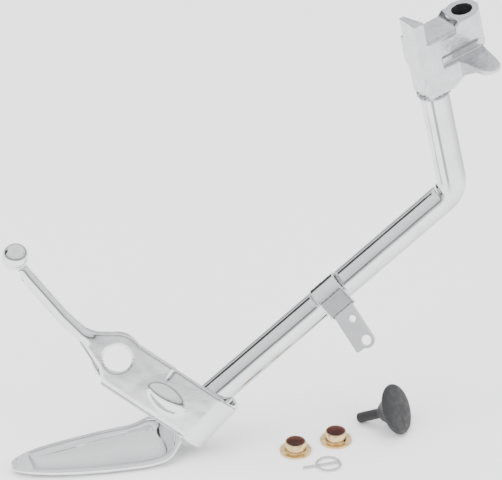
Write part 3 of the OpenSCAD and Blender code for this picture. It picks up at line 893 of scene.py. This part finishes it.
class KICKSTAND_OT_bracket(StandOperator, bpy.types.Operator):
    """Skin the spring bracket with its folds eased"""

    bl_idname = "kickstand.bracket"
    bl_label = "Spring Bracket"

    def execute(self, context):
        raw = merged_copy("spring_bracket", "bracket_raw")
        piece = softened(raw, "spring_tab", 0.00042, 5)
        piece.data.materials.append(bright_chrome())
        take_on(piece, "leg", "chrome", "spring_bracket")
        return {"FINISHED"}


class KICKSTAND_OT_lever(StandOperator, bpy.types.Operator):
    """Skin the kick lever, soften its pressed rib and crease its plate, and turn its ball"""

    bl_idname = "kickstand.lever"
    bl_label = "Kick Lever"

    def execute(self, context):
        s = sizes()
        raw = merged_copy("kick_lever", "lever_raw")
        piece = softened(raw, "kick_plate", 0.0006, 7)
        lever = lever_frame()
        back = lever.inverted()
        out = (lever.to_3x3() @ Vector((0, 0, 1))).normalized()
        for v in piece.data.vertices:
            p = back @ v.co
            if p.z > s.lever_back - 0.001:
                # a short crease by the upper edge
                crease = ease((-p.x - 0.0255) / 0.0025)
                sunk = 0.0016 * crease * (1 - crease) * ease((p.y - 0.009) / 0.006)
                # the rolled lower edge stands behind a narrow groove
                groove = (p.y - along_points(LOWER_EDGE, p.x) - GROOVE_ABOVE_EDGE) / GROOVE_WIDTH
                sunk += GROOVE_DEPTH * math.exp(-groove * groove) * ease((0.004 - p.x) / 0.01)
                # the shank's face is crowned
                across = min(1, abs(p.y - along_points(SHANK_MIDDLE, p.x)) / SHANK_HALF_WIDTH)
                sunk += CROWN_DROP * across * across * ease((-p.x - 0.078) / 0.014)
                v.co -= out * sunk
        piece.data.materials.append(bright_chrome())
        take_on(piece, "leg", "chrome", "kick_lever")
        lo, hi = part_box("lever_ball")
        centre = (Vector(lo) + Vector(hi)) / 2
        radius = (hi[0] - lo[0]) / 2 - 0.00005
        along = (lever.to_3x3() @ Vector((-0.92, 0.39, 0))).normalized()
        place = Matrix.Translation(centre) @ along.to_track_quat("Z", "Y").to_matrix().to_4x4()
        profile = [(0, -radius)]
        for i in range(1, 64):
            a = math.pi * i / 64
            flat = 1 - 0.012 * ease((abs(a - math.pi / 2) - 1.25) / 0.3)
            profile.append((radius * math.sin(a) * flat, -radius * math.cos(a) * flat))
        profile.append((0, radius * 0.988))
        ball = lathe("ball_end", profile, place, s.sides, bright_chrome())
        take_on(ball, "leg", "chrome", "lever_ball")
        return {"FINISHED"}


class KICKSTAND_OT_foot(StandOperator, bpy.types.Operator):
    """Loft the pressed dish foot from the tube's end to the toe"""

    bl_idname = "kickstand.foot"
    bl_label = "Foot"

    def execute(self, context):
        loft = FootLoft(28, 34)
        sides = 96
        bm = bmesh.new()
        rings = []
        for k in range(loft.rings):
            rings.append(
                [bm.verts.new(loft.point(k, math.tau * (j + 0.5) / sides)) for j in range(sides)]
            )
        for low, high in zip(rings, rings[1:]):
            for j in range(sides):
                n = (j + 1) % sides
                bm.faces.new((low[j], low[n], high[n], high[j]))
        bm.faces.new(rings[0])
        bm.faces.new(rings[-1])
        bmesh.ops.recalc_face_normals(bm, faces=bm.faces)
        mesh = bpy.data.meshes.new("dish_foot")
        bm.to_mesh(mesh)
        bm.free()
        smooth(mesh)
        mesh.materials.append(bright_chrome())
        piece = link("dish_foot", mesh)
        take_on(piece, "leg", "chrome", "foot")
        return {"FINISHED"}


class KICKSTAND_OT_bushings(StandOperator, bpy.types.Operator):
    """Turn the two flanged bushings and their liners"""

    bl_idname = "kickstand.bushings"
    bl_label = "Bushings"

    BARREL_RADIUS = 0.00658
    FLANGE_THICKNESS = 0.0015
    LINER_WALL = 0.0004
    LINER_GAP = 0.00002

    def execute(self, context):
        s = sizes()
        for body in ("bushing_1", "bushing_2"):
            lo, hi = (Vector(c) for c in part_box(body))
            inner_lo, inner_hi = (Vector(c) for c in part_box(body + "_liner"))
            centre = (lo + hi) / 2
            place = shift(centre.x, centre.y, lo.z)
            flange = (hi.x - lo.x) / 2
            height = hi.z - lo.z
            liner = (inner_hi.x - inner_lo.x) / 2
            bore = liner - self.LINER_WALL
            barrel, thick = self.BARREL_RADIUS, self.FLANGE_THICKNESS
            sleeve_radius = liner - self.LINER_GAP
            shell = rounded(
                [
                    (liner, 0),
                    (flange, 0, 0.0003),
                    (flange, thick, 0.0005),
                    (barrel, thick, 0.0008),
                    (barrel, height, 0.0004),
                    (liner, height),
                ],
                0.0003,
            )
            piece = lathe(body + "_shell", shell, place, s.sides, turned_bronze())
            take_on(piece, body, "bronze", body)
            sleeve = rounded(
                [
                    (bore, 0.0002),
                    (sleeve_radius, 0.0, 0.0001),
                    (sleeve_radius, height, 0.0001),
                    (bore, height - 0.0001),
                ],
                0.0001,
            )
            inner = lathe(body + "_sleeve", sleeve, place, s.sides, liner_brown())
            take_on(inner, body, "liner", body + "_liner")
        return {"FINISHED"}


class KICKSTAND_OT_bumper(StandOperator, bpy.types.Operator):
    """Turn the rubber bumper: stem, flared skirt and crowned head"""

    bl_idname = "kickstand.bumper"
    bl_label = "Rubber Bumper"

    def execute(self, context):
        s = sizes()
        stem, rim, head = 0.00335, 0.028, 0.0168
        lean = math.atan((head - stem) / rim)
        ground = FootLoft(12, 14).ground
        place = (
            shift(-0.065, -0.019, ground)
            @ turn(math.radians(-19), "Z")
            @ turn(math.radians(90) - lean, "Y")
            @ shift(-stem, 0, 0)
        )
        profile = rounded(
            [
                (0, 0),
                (stem - 0.00005, 0, 0.0012),
                (stem - 0.00005, 0.0158, 0.0012),
                (stem * 1.65, 0.0174, 0.0014),
                (head * 0.6, rim - 0.0042, 0.002),
                (head - 0.0012, rim - 0.0016, 0.0009),
                (head - 0.0001, rim, 0.0009),
                (head - 0.001, rim + 0.0021, 0.0012),
                (head * 0.6, rim + 0.0033, 0.003),
                (0, rim + 0.0039),
            ],
            0.001,
            8,
        )
        piece = lathe("rubber_stop", profile, place, s.sides, moulded_rubber())
        take_on(piece, "bumper", "rubber", "rubber_bumper")
        return {"FINISHED"}


class KICKSTAND_OT_cotter(StandOperator, bpy.types.Operator):
    """Bend the ring cotter out of one wire"""

    bl_idname = "kickstand.cotter"
    bl_label = "Ring Cotter"

    def execute(self, context):
        s = sizes()
        lo, hi = (Vector(c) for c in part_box("ring_cotter"))
        ring, leg_radius = 0.0076, s.wire_radius * 1.15
        place = shift(-0.0858, -0.068, lo.z) @ turn(math.radians(-163), "Z")
        points = []
        for i in range(97):
            a = math.pi + math.tau * i / 96 * 0.985 + 0.03
            lift = s.wire_radius * (1 + 0.02 * math.sin(a))
            points.append(place @ Vector((ring * math.cos(a), ring * math.sin(a), lift)))
        hoop = grown(
            path_mesh("hoop_path", points),
            "SweptRod",
            sweep_tree,
            "hoop",
            Radius=s.wire_radius * 0.98,
            Sides=20,
            Material=drawn_wire(),
        )
        straight = [
            place @ Vector((mix(-ring, -ring + 0.0245, i / 24), 0, leg_radius)) for i in range(25)
        ]
        pin = grown(
            path_mesh("pin_path", straight),
            "SweptRod",
            sweep_tree,
            "pin",
            Radius=leg_radius * 0.98,
            Sides=24,
            Material=drawn_wire(),
        )
        whole = joined(hoop, pin, "ring_wire")
        smooth(whole.data)
        take_on(whole, "retainer", "wire", "ring_cotter")
        return {"FINISHED"}


class KICKSTAND_OT_stage(StandOperator, bpy.types.Operator):
    """Set the floor, the soft lights, the pale surround and the camera"""

    bl_idname = "kickstand.stage"
    bl_label = "Studio Stage"

    # brightness of the tent at its height, from straight down at 0 to straight up at 1
    TENT_TONES = ((0.50, 1.0), (0.535, 0.95), (0.553, 0.22), (0.59, 0.25), (0.612, 1.1), (0.8, 1.6))
    LAMP_TARGET = (-0.13, 0, -0.2)
    VIEW_TARGET = (-0.1351, -0.0189, -0.1485)
    HALF_VIEW = 0.1594

    def floor(self):
        ground = CAD_BOX[0].z
        mesh = bpy.data.meshes.new("studio_floor")
        half = 6.0
        mesh.from_pydata(
            [(-half, -half, ground), (half, -half, ground), (half, half, ground), (-half, half, ground)],
            [],
            [(0, 1, 2, 3)],
        )
        made, tree, shader = blank_material("pale_floor")
        grain = tree.nodes.new("ShaderNodeTexNoise")
        grain.inputs["Scale"].default_value = 400
        soften = tree.nodes.new("ShaderNodeMapRange")
        soften.inputs["To Min"].default_value = 0.85
        soften.inputs["To Max"].default_value = 0.95
        place = tree.nodes.new("ShaderNodeTexCoord")
        tree.links.new(place.outputs["Object"], grain.inputs["Vector"])
        tree.links.new(grain.outputs["Fac"], soften.inputs["Value"])
        tree.links.new(soften.outputs["Result"], shader.inputs["Roughness"])
        shader.inputs["Base Color"].default_value = (*finish().floor, 1)
        shader.inputs["Specular IOR Level"].default_value = 0.1
        mesh.materials.append(made)
        floor = link("studio_floor", mesh)

    def light(self, name, at, to, size, power):
        data = bpy.data.lights.new(name, "AREA")
        data.shape = "RECTANGLE"
        data.size, data.size_y = size
        data.energy = power
        lamp = bpy.data.objects.new(name, data)
        lamp.location = at
        lamp.visible_glossy = False
        lamp.rotation_mode = "QUATERNION"
        lamp.rotation_quaternion = (Vector(to) - Vector(at)).to_track_quat("-Z", "Y")
        bpy.context.scene.collection.objects.link(lamp)

    def surround(self):
        """A pale tent with a thin dark seam low down and one dark flag, which chrome shows as dark lines."""
        world = bpy.data.worlds.new("studio_tent")
        world.use_nodes = True
        tree = world.node_tree
        back = tree.nodes["Background"]
        place = tree.nodes.new("ShaderNodeTexCoord")
        split = tree.nodes.new("ShaderNodeSeparateXYZ")
        ramp = tree.nodes.new("ShaderNodeValToRGB")
        band = ramp.color_ramp
        band.elements[0].position = 0.0
        band.elements[0].color = (1.1, 1.1, 1.12, 1)
        band.elements[1].position = 1.0
        band.elements[1].color = (1.45, 1.45, 1.45, 1)
        for at, value in self.TENT_TONES:
            element = band.elements.new(at)
            element.color = (value, value, value * 1.01, 1)
        spread = tree.nodes.new("ShaderNodeMapRange")
        spread.inputs["From Min"].default_value = -1
        spread.inputs["From Max"].default_value = 1
        tree.links.new(place.outputs["Generated"], split.inputs["Vector"])
        tree.links.new(split.outputs["Z"], spread.inputs["Value"])
        tree.links.new(spread.outputs["Result"], ramp.inputs["Fac"])
        # a dark flag low on the left, which edges the tube and darkens the head's step
        toward = tree.nodes.new("ShaderNodeVectorMath")
        toward.operation = "DOT_PRODUCT"
        toward.inputs[1].default_value = (-0.874, 0.353, 0.335)
        flag = tree.nodes.new("ShaderNodeMapRange")
        flag.inputs["From Min"].default_value = 0.966
        flag.inputs["From Max"].default_value = 0.983
        flag.inputs["To Min"].default_value = 1.0
        flag.inputs["To Max"].default_value = 0.06
        shade = tree.nodes.new("ShaderNodeVectorMath")
        shade.operation = "SCALE"
        tree.links.new(place.outputs["Generated"], toward.inputs[0])
        tree.links.new(toward.outputs["Value"], flag.inputs["Value"])
        tree.links.new(ramp.outputs["Color"], shade.inputs[0])
        tree.links.new(flag.outputs["Result"], shade.inputs["Scale"])
        tree.links.new(shade.outputs["Vector"], back.inputs["Color"])
        back.inputs["Strength"].default_value = 1.0
        bpy.context.scene.world = world

    def camera(self):
        elevation = math.radians(33)
        forward = Vector((0, math.cos(elevation), -math.sin(elevation)))
        target = Vector(self.VIEW_TARGET)
        data = bpy.data.cameras.new("long_lens")
        # a much longer lens would put the other views past their far clip
        data.lens = 1200
        data.sensor_width = 36
        distance = self.HALF_VIEW / (data.sensor_width / 2 / data.lens)
        data.clip_end = 100
        camera = bpy.data.objects.new("long_lens", data)
        camera.location = target - forward * distance
        camera.rotation_mode = "QUATERNION"
        camera.rotation_quaternion = forward.to_track_quat("-Z", "Y")
        bpy.context.scene.collection.objects.link(camera)
        bpy.context.scene.camera = camera

    def execute(self, context):
        self.floor()
        self.surround()
        self.light("key_left", (-1.2, -0.9, 1.3), self.LAMP_TARGET, (1.6, 1.4), 42)
        self.light("fill_right", (1.1, -0.8, 0.9), self.LAMP_TARGET, (1.2, 1.2), 16)
        self.light("top", (-0.13, 0.3, 1.5), self.LAMP_TARGET, (1.6, 1.6), 30)
        self.camera()
        return {"FINISHED"}


class KICKSTAND_PT_panel(bpy.types.Panel):
    bl_label = "Kickstand"
    bl_idname = "KICKSTAND_PT_panel"
    bl_space_type = "VIEW_3D"
    bl_region_type = "UI"
    bl_category = "Kickstand"

    def draw(self, context):
        for operator in OPERATORS:
            self.layout.operator(operator.bl_idname)
        for group in (context.scene.stand_sizes, context.scene.stand_finish):
            column = self.layout.column()
            for key in group.__annotations__:
                column.prop(group, key)


OPERATORS = (
    KICKSTAND_OT_head,
    KICKSTAND_OT_tube,
    KICKSTAND_OT_welds,
    KICKSTAND_OT_bracket,
    KICKSTAND_OT_lever,
    KICKSTAND_OT_foot,
    KICKSTAND_OT_bushings,
    KICKSTAND_OT_bumper,
    KICKSTAND_OT_cotter,
    KICKSTAND_OT_stage,
)
CLASSES = (StandSizes, StandFinish, *OPERATORS, KICKSTAND_PT_panel)


def register():
    for cls in CLASSES:
        bpy.utils.register_class(cls)
    bpy.types.Scene.stand_sizes = PointerProperty(type=StandSizes)
    bpy.types.Scene.stand_finish = PointerProperty(type=StandFinish)


def unregister():
    del bpy.types.Scene.stand_finish
    del bpy.types.Scene.stand_sizes
    for cls in reversed(CLASSES):
        bpy.utils.unregister_class(cls)


def main():
    register()
    for operator in OPERATORS:
        group, name = operator.bl_idname.split(".")
        getattr(getattr(bpy.ops, group), name)()


if __name__ == "__main__":
    main()
